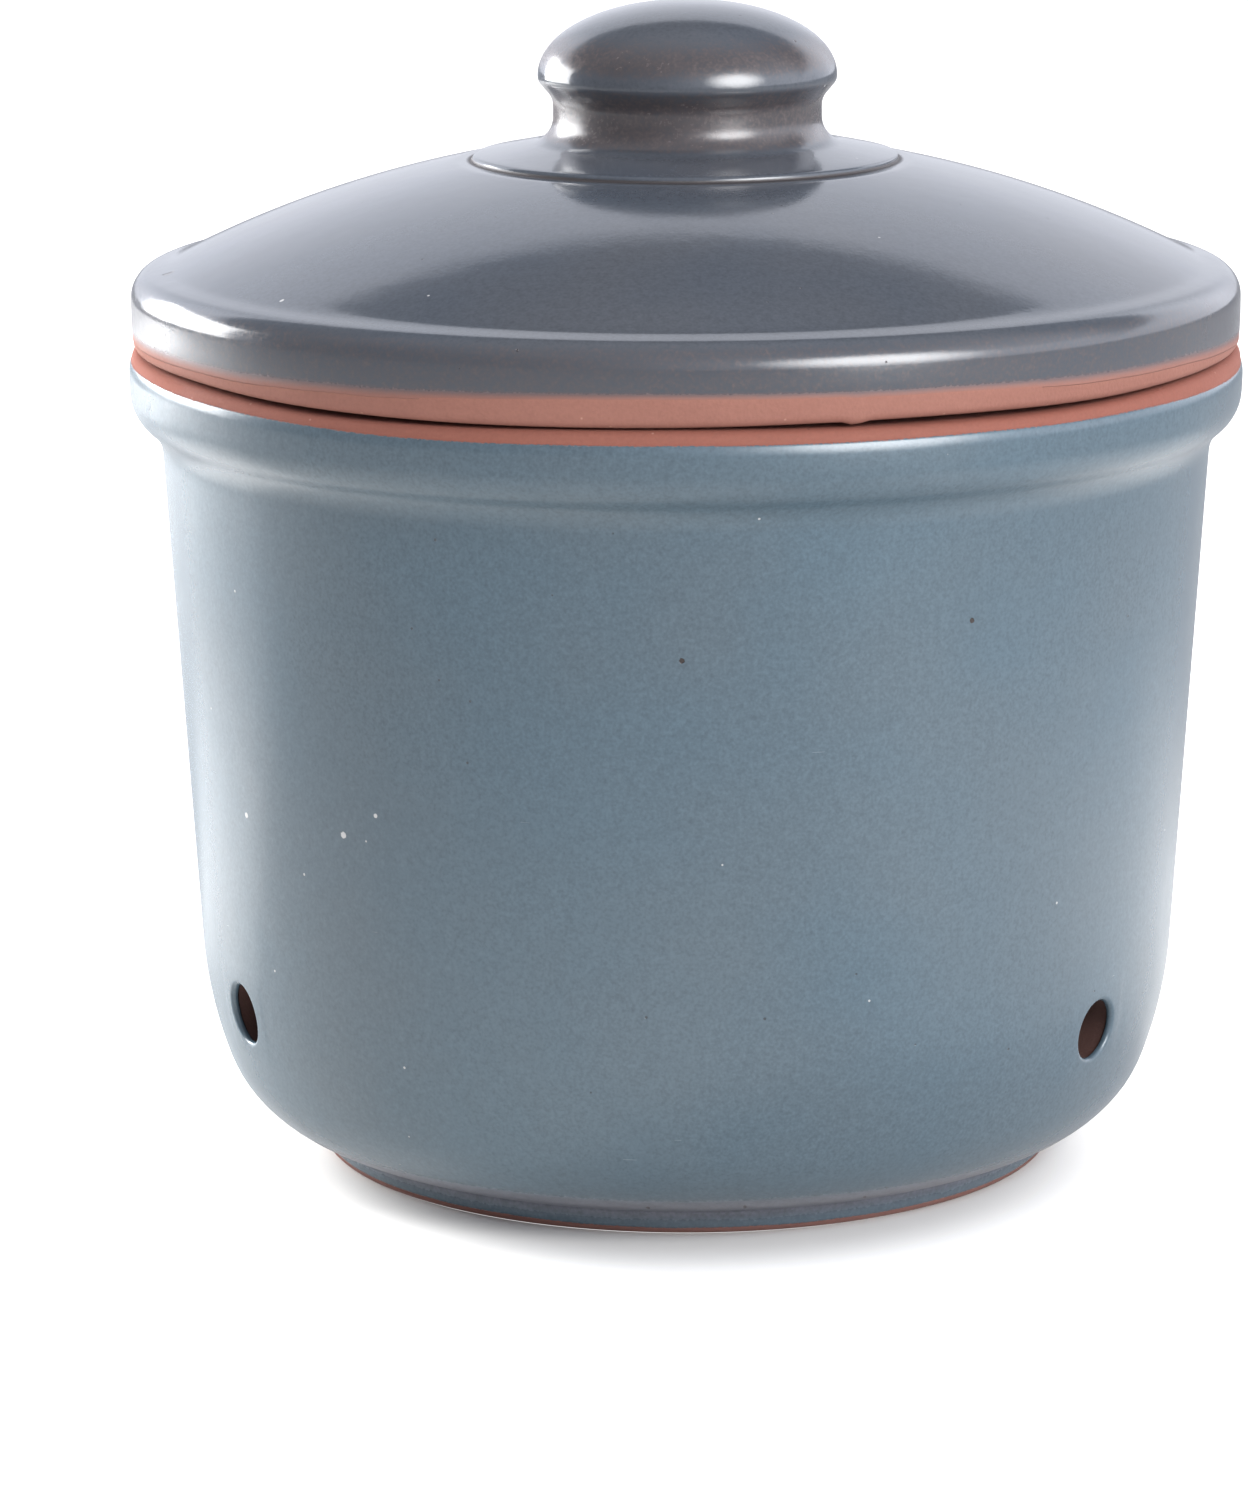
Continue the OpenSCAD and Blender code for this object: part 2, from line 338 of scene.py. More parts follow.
def piece(name, body, slot, replaced, points, faces, **values):
    """A closed mesh object from points in millimetres and faces of four vertex numbers, where a face
    at a pole names its pole twice. Keyword values are stored as one number per vertex."""
    used, faces = np.unique(faces, return_inverse=True)
    faces = faces.reshape(-1, 4)
    pole_first = faces[:, 0] == faces[:, 1]
    pole_last = faces[:, 2] == faces[:, 3]
    fans = join(faces[pole_first][:, 1:], faces[pole_last][:, :3])
    quads = faces[~pole_first & ~pole_last]
    corners = join(fans.ravel(), quads.ravel()).astype(np.int32)
    starts = join(3 * np.arange(len(fans)), 3 * len(fans) + 4 * np.arange(len(quads)))
    mesh = bpy.data.meshes.new(name)
    mesh.vertices.add(len(used))
    mesh.vertices.foreach_set("co", (points[used] * MM).astype(np.float32).ravel())
    mesh.loops.add(len(corners))
    mesh.loops.foreach_set("vertex_index", corners)
    mesh.polygons.add(len(starts))
    mesh.polygons.foreach_set("loop_start", starts.astype(np.int32))
    mesh.polygons.foreach_set("use_smooth", np.ones(len(starts), bool))
    for key, numbers in values.items():
        layer = mesh.attributes.new(key, "FLOAT", "POINT")
        layer.data.foreach_set("value", numbers[used].astype(np.float32))
    mesh.update(calc_edges=True)
    mesh.validate()
    made = add_object(name, mesh)
    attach(made, body)
    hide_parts(*replaced)
    return made


# ---- vents
def mouth(edge, surface, radius, lip, inward):
    """Rings of points (axial, across, up) from a window's edge to the bottom of a hole's rounded lip.

    edge holds the window's (across, up) places. The first rings slide from there to the lip's outer
    circle on the surface, and the rest follow a quarter circle of radius lip, down into the wall."""
    angle = np.arctan2(edge[:, 1], edge[:, 0])
    ray = np.stack([np.cos(angle), np.sin(angle)], axis=1)
    slide = np.linspace(0, 1, 8)[1:, None, None]
    flat = edge * (1 - slide) + ray * (radius + lip) * slide
    roll = np.radians(np.linspace(0, 90, 9))[1:, None]
    round_r = radius + lip * (1 - np.sin(roll))
    rounded = round_r[..., None] * ray
    across = join(flat, rounded)
    sink = join(np.zeros((len(flat), 1)), lip * (1 - np.cos(roll)))
    axial = surface(across[..., 0], across[..., 1]) - inward * sink
    return np.concatenate([axial[..., None], across], axis=-1)


class Wall:
    """Part of an outline at one depth, whose height always rises or always falls, as a surface."""

    def __init__(self, outline, start, end, lift):
        s = np.linspace(start, end, 400)
        radius, height = outline.place(s, lift)
        order = np.argsort(height)
        self.height, self.radius = height[order], radius[order]

    def beside(self, turn):
        """Distance from the Z axis, along a vent's own direction, at (across, up) from its centre:
        the root of r^2 - across^2, with r the wall's radius at that height and angle."""

        def axial(across, up):
            radius = np.interp(VENT_H + up, self.height, self.radius)
            theta = math.radians(turn) + np.arcsin(across / radius)
            radius = radius * hand(theta, VENT_H + up)
            return np.sqrt(radius**2 - across**2)

        return axial


def window_loop(index, low, high, left, right):
    """Vertex numbers round a window, anticlockwise as seen from outside, from its low left corner."""
    upward = 1 if high > low else -1
    bottom = index[low, left:right]
    right_side = index[low:high:upward, right]
    top = index[high, right:left:-1]
    left_side = index[high:low:-upward, left]
    return join(bottom, right_side, top, left_side)


def about_axis(points, turn, rise):
    """Points turned about the Z axis by degrees, and raised. The vent's own frame (axial, across, up)
    is the pot's turned by minus the vent's turn and lowered by VENT_H."""
    a = math.radians(turn)
    x = points[..., 0] * math.cos(a) - points[..., 1] * math.sin(a)
    y = points[..., 0] * math.sin(a) + points[..., 1] * math.cos(a)
    return np.stack([x, y, points[..., 2] + rise], axis=-1)


def bore_vents(points, index, windows, walls, make_rings):
    """Cuts a window in both sides of a wall at each vent and joins them by the hole's rings. The
    windows are (low, high) rows, front and back. Returns all points and all faces."""
    keep = np.ones((len(index) - 1, COLUMNS), bool)
    all_points, faces = [points], []
    count = len(points)
    for turn in VENT_TURNS:
        column = int(round(turn / 360 * COLUMNS))
        left, right = column - HALF_WINDOW, column + HALF_WINDOW
        for low, high in windows:
            keep[min(low, high) : max(low, high), left:right] = False
        near, far = (window_loop(index, *rows, left, right) for rows in windows)
        edges = [about_axis(points[loop], -turn, -VENT_H)[:, 1:] for loop in (near, far)]
        rings = make_rings(*edges, *(wall.beside(turn) for wall in walls))
        fresh = count + np.arange(rings.shape[0] * rings.shape[1]).reshape(rings.shape[:2])
        faces.append(weave(join(near[None], fresh, far[None])))
        all_points.append(about_axis(rings, turn, VENT_H).reshape(-1, 3))
        count += fresh.size
    return join(*all_points), join(weave(index, keep), *faces)


# ---- the pot
def inner_wall_r(height):
    """Radius of the inside of the wall's straight part, at a height."""
    share = (height - BELLY_H) / (NECK_H - BELLY_H)
    return BELLY_R + share * (NECK_R - BELLY_R) - WALL_T


POT = Outline(
    [
        (0, FOOT_HOLLOW, 0),
        (FOOT_R - FOOT_W - FOOT_HOLLOW, FOOT_HOLLOW, FOOT_HOLLOW),
        (FOOT_R - FOOT_W, 0, FOOT_EASE),
        (FOOT_R, 0, FOOT_EASE),
        (FOOT_R, FOOT_H, FOOT_EASE),
        (HEEL_R, HEEL_H, HEEL_FILLET),
        (BELLY_R, BELLY_H, BELLY_FILLET),
        (NECK_R, NECK_H, COVE_FILLET),
        (RIM_R, RIM_LOW_H, RIM_FILLET),
        (RIM_R, RIM_H, RIM_EASE),
        (inner_wall_r(RIM_H), RIM_H, RIM_EASE),
        (inner_wall_r(FLOOR_H), FLOOR_H, FLOOR_FILLET),
        (0, FLOOR_H, 0),
    ],
    soft=0.35,
)
POT_TOP_S = POT.s[np.argmax(POT.z * (POT.r > NECK_R))]
FOOT_SIDE_S = POT.s_at_height(0.5, FOOT_R - 1, POT_TOP_S)
POT_EDGE_LOW_S = POT.s_at_height(POT_GLAZE_LOW_H, FOOT_SIDE_S, POT_TOP_S)
POT_EDGE_TOP_S = POT.s_at_height(POT_GLAZE_TOP_H, FOOT_SIDE_S, POT_TOP_S)
WINDOW = 2 * HALF_WINDOW
WINDOW_ENDS = VENT_H - 6.0, VENT_H + 6.0
OUT_LOW_S, OUT_HIGH_S = (POT.s_at_height(end, FOOT_SIDE_S, POT_TOP_S) for end in WINDOW_ENDS)
IN_LOW_S, IN_HIGH_S = (POT.s_at_height(end, POT_TOP_S) for end in WINDOW_ENDS)


def rim_warped(height):
    """Heights of the pot with its rim out of true, which fades out by 6 mm below its top."""
    return height + RIM_RISE * step(height, RIM_H - 6, RIM_H - 1)


def vent_rows(rows_before, low_s, high_s, rows_after):
    """Rows before a window, WINDOW even steps across it and the rows after it, and where it starts."""
    across = np.linspace(low_s, high_s, WINDOW + 1)
    return join(rows_before[:-1], across, rows_after[1:]), len(rows_before) - 1


def pot_clay():
    """The earthenware of the pot. Its lift is -BARE_DEPTH on bare outer sides and -GLAZE_DEPTH, and a
    little more, under the glaze, so that the glaze's edges stand proud of the bare clay."""
    before, after = POT.rows(0, OUT_LOW_S, *CLAY_SPACING), POT.rows(OUT_HIGH_S, IN_HIGH_S, *CLAY_SPACING)
    rows, front = vent_rows(before, OUT_LOW_S, OUT_HIGH_S, after)
    before, after = rows[rows <= IN_HIGH_S], POT.rows(IN_LOW_S, POT.s[-1], *CLAY_SPACING)
    rows, back = vent_rows(before, IN_HIGH_S, IN_LOW_S, after)
    side = POT.upright(rows) * (rows < POT_TOP_S) * (rows > FOOT_R - 2)
    under = step(rows, POT_EDGE_LOW_S, POT_EDGE_LOW_S + CLAY_STEP_W)
    under = under * step(rows, POT_EDGE_TOP_S, POT_EDGE_TOP_S - CLAY_STEP_W)
    lift = -BARE_DEPTH * side * (1 - under) - (GLAZE_DEPTH + CLAY_PLAY) * under
    radius, height = POT.place(rows, lift)
    points, index = numbered(turned(radius[:, None] + 0 * THETA, rim_warped(height[:, None])))

    def rings(near_edge, far_edge, near_wall, far_wall):
        """The clay's hole is wider than the finished one by the glaze that rolls into it."""
        outer = mouth(near_edge, near_wall, BORE_R, VENT_LIP, 1)
        inner = mouth(far_edge, far_wall, BORE_R, INNER_LIP, -1)[::-1]
        share = np.linspace(0, 1, 8)[1:-1, None, None]
        return join(outer, outer[-1] * (1 - share) + inner[0] * share, inner)

    windows = (front, front + WINDOW), (back + WINDOW, back)
    outer_wall = Wall(POT, OUT_LOW_S, OUT_HIGH_S, -(GLAZE_DEPTH + CLAY_PLAY))
    inner_wall = Wall(POT, IN_HIGH_S, IN_LOW_S, 0.0)
    points, faces = bore_vents(points, index, windows, (outer_wall, inner_wall), rings)
    # Painted shade: 1 over the bore of each vent, fading out round its mouth, where the clay is painted
    # dark.
    stain = np.zeros(len(points))
    for turn in VENT_TURNS:
        axial, across, up = about_axis(points, -turn, -VENT_H).T
        stain = np.maximum(stain, step(np.hypot(across, up), BORE_R + 0.65, BORE_R + 0.15) * (axial > 0))
    return piece("pot_clay", "pot", "earthenware", ["pot_body"], points, faces, stain=stain)


def pot_coat():
    """The glaze of the pot: its outer face at the outline, a bead at each edge, and an inner face just
    inside the clay. The lift rises from the clay along a quarter ellipse, BEAD_W wide. The glaze is
    thinner in a band round the foot, and in a narrower one just above the table, where its pale colour
    is also a painted reflection of the bright floor."""
    low_s, top_s = POT_EDGE_LOW_S, POT_EDGE_TOP_S
    bead = low_s + BEAD_W * (1 - np.cos(np.linspace(0, math.pi / 2, 9)))
    bead_top = top_s - (bead[::-1] - low_s)
    before = join(bead, POT.rows(bead[-1], OUT_LOW_S, 1.0)[1:])
    after = join(POT.rows(OUT_HIGH_S, bead_top[0], 1.0), bead_top[1:])
    outside, front = vent_rows(before, OUT_LOW_S, OUT_HIGH_S, after)
    hem_w = 0.8
    before = join([low_s], POT.rows(low_s + hem_w, OUT_LOW_S, 3.0, 0.2))
    after = join(POT.rows(OUT_HIGH_S, top_s - hem_w, 3.0, 0.2), [top_s])
    inside, back = vent_rows(before, OUT_LOW_S, OUT_HIGH_S, after)

    from_edge = np.minimum(outside - low_s, top_s - outside)
    rise = np.sqrt(1 - (1 - np.clip(from_edge / BEAD_W, 0, 1)) ** 2)
    swell = BEAD_RISE * rise * hump(from_edge, BEAD_W, 1.4)
    outer_edge, inner_edge = BARE_DEPTH + 0.03, BARE_DEPTH + 0.05
    lift_out = swell - outer_edge + (outer_edge - POT_FACE_DEPTH) * rise
    covered = step(np.minimum(inside - low_s, top_s - inside), 0, hem_w)
    lift_in = -inner_edge - (POT_INNER_DEPTH - inner_edge) * covered
    s = join(outside, inside[::-1][1:-1])
    lift = join(lift_out, lift_in[::-1][1:-1])

    near_top, near_low = fading(top_s - s, TOP_EDGE_FADE), fading(s - low_s, LOW_EDGE_FADE)
    waver = 0.10 * ragged(3, 14) + 0.06 * ragged(4, 3)
    drip = 0.12 * ragged(5, 9) + 0.08 * ragged(6, 2) - 0.25
    s_grid = s[:, None] + near_top[:, None] * (waver + POT_EDGE_RISE) + near_low[:, None] * drip
    radius, height = POT.place(s_grid, lift[:, None])
    points, index = numbered(turned(radius, rim_warped(height)), poles=False)
    index = join(index, index[:1])
    back_low = len(outside) + len(inside) - 2 - back

    def rings(near_edge, far_edge, near_wall, far_wall):
        """Over the lip, a short way down the hole, round a thin edge and back along the clay."""
        outer = mouth(near_edge, near_wall, VENT_R, VENT_LIP + BORE_R - VENT_R, 1)
        inner = mouth(far_edge, far_wall, VENT_R + 0.3, VENT_LIP, 1)[::-1]
        down = outer[-1] - np.array([0.15, 0, 0])
        hem = outer[-1] * np.array([1, 1.06, 1.06]) - np.array([0.4, 0, 0])
        return join(outer, down[None], hem[None], inner)

    windows = (front, front + WINDOW), (back_low, back_low - WINDOW)
    walls = [Wall(POT, OUT_LOW_S, OUT_HIGH_S, -depth) for depth in (0.05, POT_INNER_DEPTH)]
    points, faces = bore_vents(points, index, windows, walls, rings)
    edge = np.repeat(np.minimum(s - low_s, top_s - s), COLUMNS)
    edge = join(edge, np.full(len(points) - len(edge), 5.0))
    height = points[:, 2]
    # Painted reflection: the pale band round the foot, and the narrower one above the table, stand in
    # for the bright floor's reflection as well as thinner glaze.
    thin = 0.8 * step(height, *FOOT_THIN_AND_SHEEN_TOP) * step(height, *FOOT_THIN_AND_SHEEN_LOW) + 0.3 * step(height, 4, 2)
    return piece("pot_coat", "pot", "pot_glaze", ["pot_glaze"], points, faces, edge=edge, thin=thin)


# ---- the lid
def dome(radius_from, radius_to, sphere_r, count=60):
    """Plain corners on a sphere about (0, DOME_CENTRE_H), even in angle from one radius to another."""
    a = np.linspace(math.asin(radius_from / sphere_r), math.asin(radius_to / sphere_r), count)
    return [(sphere_r * math.sin(x), DOME_CENTRE_H + sphere_r * math.cos(x), 0) for x in a]


def cap_top(count=80):
    """Plain corners up the knob's crown, from its widest place to its middle, on the curve where
    (radius / CAP_R)^CAP_POWER + (rise / crown height)^CAP_POWER is 1."""
    a = np.linspace(0, math.pi / 2, count)
    radius = CAP_R * np.cos(a) ** (2 / CAP_POWER)
    height = CAP_MID_H + (KEEPER_H - CAP_MID_H) * np.sin(a) ** (2 / CAP_POWER)
    return [(r, z, 0) for r, z in zip(radius, height)]


FLANGE_R = inner_wall_r(FLANGE_LOW_H) - FLANGE_PLAY
FLANGE_IN_R = FLANGE_R - FLANGE_T
LID_SIDE = [
    (LID_R, RIM_H + SEAT_CLEARANCE, LID_EASE),
    (LID_R, SHOULDER_H, SHOULDER_FILLET),
    (CREASE_R, CREASE_H, CREASE_FILLET),
    *dome(CREASE_R, PAD_R + PAD_GROOVE_W, DOME_R)[4:],
    (PAD_R, PAD_H - PAD_EDGE - PAD_GROOVE, 0.1),
]
KNOB = [
    (PAD_R, PAD_H, PAD_FILLET),
    (WAIST_R, WAIST_LOW_H, WAIST_LOW_FILLET),
    (WAIST_R, WAIST_TOP_H, WAIST_TOP_FILLET),
    (CAP_R, CAP_LOW_H, CAP_FILLET),
    *cap_top(),
]
LID = Outline([(FLANGE_R - 2, RIM_H + SEAT_CLEARANCE, 0), *LID_SIDE, *KNOB], soft=0.22)
UNDER_DOME = dome(0, FLANGE_IN_R, DOME_R - LID_T)
LID_CLAY = Outline(
    [
        *UNDER_DOME[:-1],
        (*UNDER_DOME[-1][:2], FLANGE_FILLET),
        (FLANGE_IN_R, FLANGE_LOW_H, FLANGE_EASE),
        (FLANGE_R, FLANGE_LOW_H, FLANGE_EASE),
        (FLANGE_R, RIM_H + SEAT_CLEARANCE, FLANGE_EASE),
        *LID_SIDE,
        (0, LID_SIDE[-1][1], 0),
    ],
    soft=0.22,
)
SEAT_MID_R = (FLANGE_R + LID_R) / 2
SEAT_S = LID_CLAY.s[np.argmin(np.hypot(LID_CLAY.r - SEAT_MID_R, LID_CLAY.z - RIM_H))]
LID_CLAY_EDGE_S = LID_CLAY.s_at_height(LID_GLAZE_LOW_H, SEAT_S)
LID_EDGE_S = LID.s_at_height(LID_GLAZE_LOW_H, 0, LID.s[np.argmax(LID.r)] + 4)


def seat_warped(height, share=1.0):
    """Heights of the lid with its seat out of true, which fades out over 5 mm above it."""
    return height + share * (SEAT_RISE + CRUMB) * step(height, RIM_H + 5, RIM_H)


def lid_clay():
    """The earthenware of the lid: dome, shoulder, seat and flange."""
    rows = LID_CLAY.rows(0, LID_CLAY.s[-1], *LID_SPACING)
    side = LID_CLAY.upright(rows) * (rows > SEAT_S)
    under = step(rows, LID_CLAY_EDGE_S + 0.35, LID_CLAY_EDGE_S + 1.35)
    lift = -LID_BARE_DEPTH * side * (1 - under) - (GLAZE_DEPTH + CLAY_PLAY) * under
    near_edge = fading(np.abs(rows - LID_CLAY_EDGE_S), LID_EDGE_FADE) * (rows > SEAT_S)
    s_grid = rows[:, None] + near_edge[:, None] * LID_EDGE_RISE
    radius, height = LID_CLAY.place(s_grid, lift[:, None])
    radius[-1] = 0
    outer = step(LID_CLAY.at(rows, LID_CLAY.r), FLANGE_R, FLANGE_R + 6) * (rows > SEAT_S - 6)
    outer = np.maximum(outer, rows > LID_CLAY_EDGE_S)
    points, index = numbered(turned(radius, seat_warped(height, outer[:, None])))
    return piece("lid_clay", "lid", "earthenware", ["lid_body"], points, weave(index))


def knob_shift(height):
    """How far the knob, which was set on by hand, is off the lid's middle, by height."""
    return KNOB_SHIFT * step(height, PAD_H - 0.6, PAD_H + 0.6)


def knob_clay():
    """The earthenware of the knob and its pad, inside the glaze."""
    start = LID.s_at_height(JOINT_H + 0.3, LID.s[np.argmax(LID.r)])
    rows = LID.rows(start, LID.s[-1], 1.5, 0.15)
    radius, height = LID.place(rows, -(GLAZE_DEPTH + CLAY_PLAY))
    radius, height = join([0], radius), join([height[0]], height)
    radius[-1] = 0
    height = height[:, None] + 0 * THETA
    points, index = numbered(turned(radius[:, None] + 0 * THETA, height, knob_shift(height)))
    return piece("knob_clay", "lid", "earthenware", ["lid_knob"], points, weave(index))


def lid_coat():
    """The glaze over the lid and the knob. Its edge rises smoothly out of the clay, as a sprayed one
    does. The glaze is thinner on the knob's neck and on upright and rounded parts of the lid, but a
    band round the cap's widest part keeps the slate colour, a painted reflection of the floor. Along
    the foot of the pad's edge is a hollow, which the glaze paints dark as shade."""
    edge_s, end = LID_EDGE_S, LID.s[-1]
    first = edge_s + np.array([0, 0.1, 0.2, 0.35, 0.5, 0.7])
    outside = join(first, LID.rows(edge_s + 0.95, end, 0.9, 0.08))
    inside = join([edge_s + 0.4], LID.rows(edge_s + 1.5, end, 3.0, 0.25))
    outer_edge, inner_edge = LID_BARE_DEPTH + 0.005, 0.2
    lift_out = -outer_edge + (outer_edge - LID_FACE_DEPTH) * step(outside, edge_s, edge_s + 1.5)
    lift_in = -inner_edge - (GLAZE_DEPTH - LID_BARE_DEPTH) * step(inside, edge_s, edge_s + 1.2)
    s = join(inside[::-1], outside)
    lift = join(lift_in[::-1], lift_out)

    from_edge = s[:, None] - edge_s
    waver = fading(from_edge, 1.0) * (0.12 * ragged(11, 12) + 0.08 * ragged(12, 2))
    s_grid = s[:, None] + waver + fading(from_edge, LID_EDGE_FADE) * LID_EDGE_RISE
    s_grid = np.minimum(s_grid, end)
    radius, height = LID.place(s_grid, lift[:, None])
    radius[0], radius[-1] = 0, 0
    points, index = numbered(turned(radius, seat_warped(height), knob_shift(height)))

    r, z, bend = (LID.at(s, each) for each in (LID.r, LID.z, LID.bend))
    on_knob = z > PAD_H
    on_pad_edge = (np.abs(r - PAD_R) < 1.5) & (z < PAD_H + 0.5)
    thin = (0.5 + 0.35 * on_knob) * step(LID.upright(s), 0.35, 0.85)
    # Painted reflection: a band round the cap's widest part keeps the slate colour, standing in for the
    # lighter floor reflected there.
    thin = thin * (1 - 0.85 * hump(z, CAP_MID_H + 0.4, 1.2))
    thin = np.clip(thin + 0.6 * step(np.clip(bend, 0, 1), 0.5, 1.3) * ~on_knob, 0, 1) * ~on_pad_edge
    # Painted shade: the concave foot of the pad's edge, painted dark in the glaze.
    hollow = on_pad_edge * step(-bend, 0.15, 0.65)
    values = {"edge": s - edge_s, "thin": thin, "hollow": hollow}
    values = {key: np.repeat(numbers, COLUMNS) for key, numbers in values.items()}
    return piece("lid_coat", "lid", "lid_glaze", ["lid_glaze"], points, weave(index), **values)


# ---- shader building
class Graph:
    """A node tree, with short names for what is added to it most. A value that is a socket is linked,
    and any other is set. `place`, in millimetres, is where noise and groups are read."""

    def __init__(self, tree):
        self.tree, self.place = tree, None

    def put(self, value, socket):
        """Links a value to a socket, or sets the socket to it."""
        if isinstance(value, bpy.types.NodeSocket):
            self.tree.links.new(value, socket)
        else:
            socket.default_value = value

    def node(self, kind, inputs=(), **settings):
        """Adds a node of a kind, named without its ShaderNode, with its settings and its inputs."""
        made = self.tree.nodes.new("ShaderNode" + kind)
        for key, value in settings.items():
            setattr(made, key, value)
        for key, value in dict(inputs).items():
            self.put(value, made.inputs[key])
        return made

    def maths(self, operation, *values):
        """The result of a Math node."""
        return self.node("Math", enumerate(values), operation=operation).outputs[0]

    def times(self, first, second):
        """A product."""
        return self.maths("MULTIPLY", first, second)

    def add(self, value, factor, base):
        """A value times a factor, added to a base."""
        return self.maths("MULTIPLY_ADD", value, factor, base)

    def vectors(self, operation, *values):
        """The result of a Vector Math node: a number for a length, a distance or a dot product."""
        made = self.node("VectorMath", enumerate(values), operation=operation)
        return made.outputs["Value" if operation in ("LENGTH", "DISTANCE", "DOT_PRODUCT") else "Vector"]

    def parts(self, vector):
        """A vector's X, Y and Z."""
        return self.node("SeparateXYZ", {0: vector}).outputs

    def ramp(self, value, low, high):
        """A smooth step of a value, from 0 at low to 1 at high. It falls if low is the higher."""
        inputs = {"Value": value, "From Min": low, "From Max": high}
        return self.node("MapRange", inputs, interpolation_type="SMOOTHSTEP").outputs["Result"]

    def between(self, factor, low, high):
        """A number between two, by factor."""
        return self.node("Mix", {0: factor, 2: low, 3: high}).outputs[0]

    def mix(self, factor, first, second):
        """A colour between two, by factor."""
        return self.node("Mix", {0: factor, 6: first, 7: second}, data_type="RGBA").outputs[2]

    def shade(self, colour, factor):
        """A colour made darker or lighter by a factor."""
        return self.node("VectorMath", {0: colour, "Scale": factor}, operation="SCALE").outputs["Vector"]

    def noise(self, size, detail=2.0, squeeze=None):
        """Noise of about -1 to 1, with features of a size in millimetres before any squeeze."""
        place = self.vectors("MULTIPLY", self.place, squeeze) if squeeze else self.place
        made = self.node("TexNoise", {"Vector": place, "Scale": 1 / size, "Detail": detail})
        return self.add(made.outputs[0], 4.0, -2.0)

    def attribute(self, name):
        """The numbers that a piece keeps on its vertices under a name."""
        return self.node("Attribute", attribute_name=name).outputs["Fac"]

    def use(self, effect, **inputs):
        """Adds a group at this graph's place, and gives the sockets that it puts out."""
        return self.node("Group", {"Place": self.place, **inputs}, node_tree=effect).outputs

    def finish(self, shader, kind="OutputMaterial"):
        """Links a shader node to a new output node."""
        self.put(shader.outputs[0], self.node(kind).inputs["Surface"])


def group(name, **inputs):
    """An empty node group as a graph, with its inputs' sockets. Place is an input of every group, and
    the others have a default."""
    graph = Graph(bpy.data.node_groups.new(name, "ShaderNodeTree"))
    for label, default in {"Place": (0, 0, 0), **inputs}.items():
        kind = "NodeSocketFloat" if isinstance(default, float) else "NodeSocketVector"
        graph.tree.interface.new_socket(label, in_out="INPUT", socket_type=kind).default_value = default
    given = graph.tree.nodes.new("NodeGroupInput").outputs
    graph.place = given["Place"]
    return graph, given


def put_out(graph, **outputs):
    """The tree of a group, once it puts out these sockets under these names."""
    for label in outputs:
        graph.tree.interface.new_socket(label, in_out="OUTPUT", socket_type="NodeSocketFloat")
    result = graph.tree.nodes.new("NodeGroupOutput")
    for label, value in outputs.items():
        graph.put(value, result.inputs[label])
    return graph.tree


# ---- shared effects
def tone_group():
    """Firing tone: Cloud drifts over centimetres, Grain is the salt and pepper of the fired skin."""
    g = group("firing_tone")[0]
    grain = g.add(g.noise(0.9, 1.0), 0.4, g.times(g.noise(0.4, 1.0), 0.6))
    return put_out(g, Cloud=g.noise(26.0), Grain=grain)


def fleck_group():
    """Flecks scattered in cells of Spacing mm. A Share of the cells has one, a ball of Radius mm."""
    g, given = group("flecks", Spacing=5.0, Radius=0.2, Share=0.3)
    scale = g.maths("DIVIDE", 1.0, given["Spacing"])
    cells = g.node("TexVoronoi", {"Vector": g.place, "Scale": scale}).outputs
    far = g.times(cells["Distance"], given["Spacing"])
    chance = g.node("SeparateColor", {0: cells["Color"]}).outputs[0]
    ball = g.ramp(far, given["Radius"], g.times(given["Radius"], 0.6))
    return put_out(g, Mask=g.times(ball, g.maths("LESS_THAN", chance, given["Share"])))


def chip_group():
    """One chip or pit: 1 within Size mm of Centre along each axis, with a broken outline."""
    g, given = group("chip", Centre=(0, 0, 0), Size=(1, 1, 1))
    away = g.vectors("SUBTRACT", g.place, given["Centre"])
    reach = g.vectors("LENGTH", g.vectors("DIVIDE", away, given["Size"]))
    return put_out(g, Mask=g.ramp(g.add(g.noise(0.5), 0.25, reach), 1.1, 0.8))


def feather_group():
    """How fully the glaze covers the clay near its edge: 0 at the edge and 1 Reach mm in from it,
    moved in or out by fine noise of Ragged mm."""
    g, given = group("glaze_edge", Edge=0.0, Reach=0.5, Ragged=0.2)
    edge = g.add(g.noise(0.26, 3.0), given["Ragged"], given["Edge"])
    return put_out(g, Cover=g.ramp(edge, 0.0, given["Reach"]))


def skin_group():
    """Height of the surface, in millimetres: Peel is the soft waviness of melted glass, Grain its
    fine tooth, and Rings the faint throwing lines round the wall."""
    g, given = group("skin", Peel=0.01, Grain=0.003, Rings=0.01)
    peel = g.times(g.noise(5.0), given["Peel"])
    rings = g.add(g.noise(1.6, squeeze=(0.04, 0.04, 0.5)), given["Rings"], peel)
    return put_out(g, Height=g.add(g.noise(0.4, 1.0), given["Grain"], rings))


def handling_group():
    """Marks of use that dull the gloss: Dull is 0 on clean glaze, higher where hands and cloths
    have left a film, and Scuff is 1 along short fine scratches."""
    g = group("handling")[0]
    film = g.ramp(g.noise(9.0, 4.0), -0.2, 1.2)
    hair = g.ramp(g.noise(1.1, 1.0, squeeze=(0.16, 0.16, 3.0)), 1.0, 1.25)
    return put_out(g, Dull=film, Scuff=g.times(hair, g.ramp(g.noise(6.0), 0.3, 0.8)))


TONE, FLECK, CHIP = tone_group(), fleck_group(), chip_group()
FEATHER, SKIN, HANDLING = feather_group(), skin_group(), handling_group()


# ---- materials
LID_CLAY_TONE = (0.248, 0.102, 0.074, 1), (0.285, 0.124, 0.092, 1)
# The pot's clay is the lid's clay made darker and deeper: painted shade under the lid's edge.
POT_CLAY_TONE_AND_SHADE = (0.236, 0.077, 0.052, 1), (0.258, 0.092, 0.064, 1)
CLAY_DUST = (0.470, 0.260, 0.200, 1)
